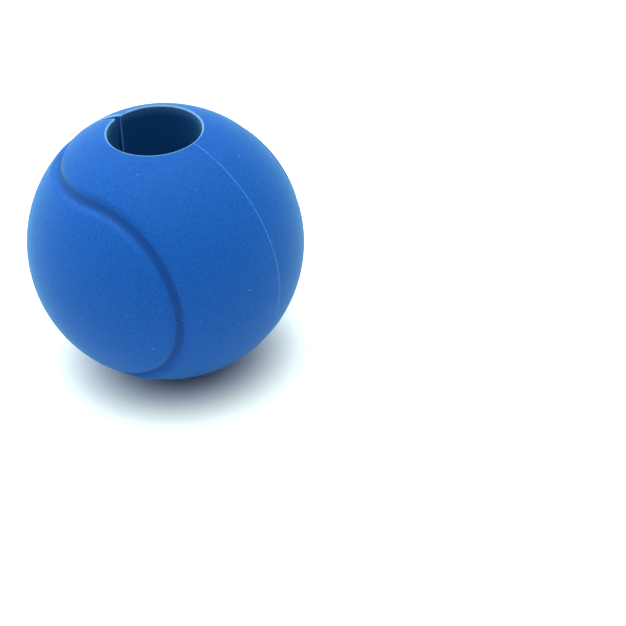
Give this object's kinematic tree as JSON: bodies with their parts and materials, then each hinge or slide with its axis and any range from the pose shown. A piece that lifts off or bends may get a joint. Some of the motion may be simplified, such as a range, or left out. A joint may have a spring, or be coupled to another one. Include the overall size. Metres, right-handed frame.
{
  "type": "split grip ball",
  "caption": "Solid silicone ball with a bore right through it and a slit along one side that springs open over a bar, with a shallow winding groove round the outside.",
  "frame": {"origin": "the ball's centre, midway between the two mouths of the bore", "axes": "+Z along the bore, +Y towards the back wall, so the slit faces -Y"},
  "size_m": [0.075, 0.075, 0.0702],
  "materials": {
    "silicone": "matte blue silicone with a fine eggshell grain"
  },
  "bodies": {
    "spine": {"spine": "silicone"},
    "left_jaw": {"left_jaw": "silicone"},
    "right_jaw": {"right_jaw": "silicone"}
  },
  "joints": [
    {"name": "left_flex", "type": "hinge", "parent": "spine", "child": "left_jaw", "pos_m": [-0.02309, 0.02955, 0], "axis": [0, 0, -1], "range_deg": [0, 17], "stiffness_Nm_per_rad": 2.5},
    {"name": "right_flex", "type": "hinge", "parent": "spine", "child": "right_jaw", "pos_m": [0.02309, 0.02955, 0], "axis": [0, 0, 1], "range_deg": [0, 17], "stiffness_Nm_per_rad": 2.5}
  ],
  "couplings": [
    {"joint": "right_flex", "follows": "left_flex", "ratio": 1}
  ]
}
